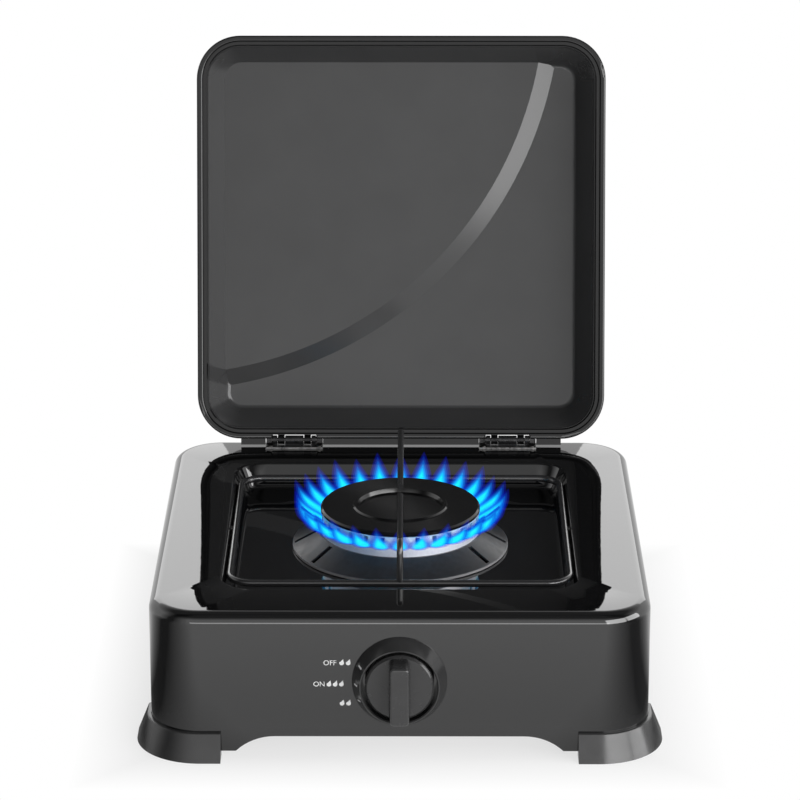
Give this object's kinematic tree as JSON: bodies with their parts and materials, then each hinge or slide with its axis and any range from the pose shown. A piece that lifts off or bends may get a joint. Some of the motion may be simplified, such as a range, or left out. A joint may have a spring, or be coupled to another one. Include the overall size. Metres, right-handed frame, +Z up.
{
  "type": "tabletop gas stove",
  "caption": "Portable single-burner tabletop gas stove: black enamelled body on corner feet, sunken burner well with wire pan support, push-and-turn knob and hinged lid.",
  "frame": {"origin": "on the table, under the middle of the open stove's box, from the knob's face to the back of the open lid", "axes": "+X to the cook's right, +Y towards the back where the lid hinges, +Z up"},
  "size_m": [0.286, 0.373, 0.3203],
  "materials": {
    "enamel": "glossy black vitreous enamel on steel sheet",
    "foot_plastic": "satin black moulded plastic",
    "screw_steel": "plain bright steel",
    "wire_enamel": "satin black enamelled wire",
    "burner_aluminium": "machined cast aluminium",
    "skirt_enamel": "satin black pressed sheet",
    "cap_enamel": "satin black enamelled disc",
    "tube_steel": "plated steel tube",
    "valve_brass": "turned brass",
    "valve_alloy": "die-cast alloy",
    "spring_steel": "spring wire",
    "knob_plastic": "satin black moulded plastic",
    "ring_plastic": "satin black moulded plastic with white marks",
    "hinge_steel": "blackened steel with worn bright edges"
  },
  "bodies": {
    "stove": {"body_shell": "enamel", "foot_front_left": "foot_plastic", "foot_front_right": "foot_plastic", "foot_rear_left": "foot_plastic", "foot_rear_right": "foot_plastic", "foot_screws": "screw_steel", "pan_support": "wire_enamel", "burner_bowl": "burner_aluminium", "burner_screws": "screw_steel", "burner_skirt": "skirt_enamel", "burner_crown": "burner_aluminium", "burner_cap": "cap_enamel", "mixing_tube": "tube_steel", "injector": "valve_brass", "valve_body": "valve_alloy", "valve_cover": "valve_alloy", "valve_screws": "screw_steel", "knob_ring": "ring_plastic", "gas_pipe": "tube_steel", "pipe_nut": "valve_brass", "inlet_nipple": "valve_brass", "inlet_nut": "valve_brass", "hinge_left_body_leaf": "hinge_steel", "hinge_right_body_leaf": "hinge_steel", "hinge_left_pin": "screw_steel", "hinge_right_pin": "screw_steel", "hinge_rivets": "screw_steel"},
    "lid": {"lid_panel": "enamel", "hinge_left_lid_leaf": "hinge_steel", "hinge_right_lid_leaf": "hinge_steel"},
    "plug": {"gas_plug": "valve_brass", "valve_spring": "spring_steel"},
    "knob": {"knob": "knob_plastic", "valve_stem": "valve_brass"}
  },
  "joints": [
    {"name": "lid_hinge", "type": "hinge", "parent": "stove", "child": "lid", "pos_m": [0, 0.10079, 0.087], "axis": [1, 0, 0], "range_deg": [0, 105]},
    {"name": "knob_turn", "type": "hinge", "parent": "stove", "child": "plug", "pos_m": [0, -0.16371, 0.04475], "axis": [0, -1, 0], "range_deg": [0, 118]},
    {"name": "knob_press", "type": "slide", "parent": "plug", "child": "knob", "axis": [0, 1, 0], "range_m": [0, 0.003], "stiffness_N_per_m": 800, "springref_m": -0.003, "deforming": ["valve_spring"]}
  ]
}
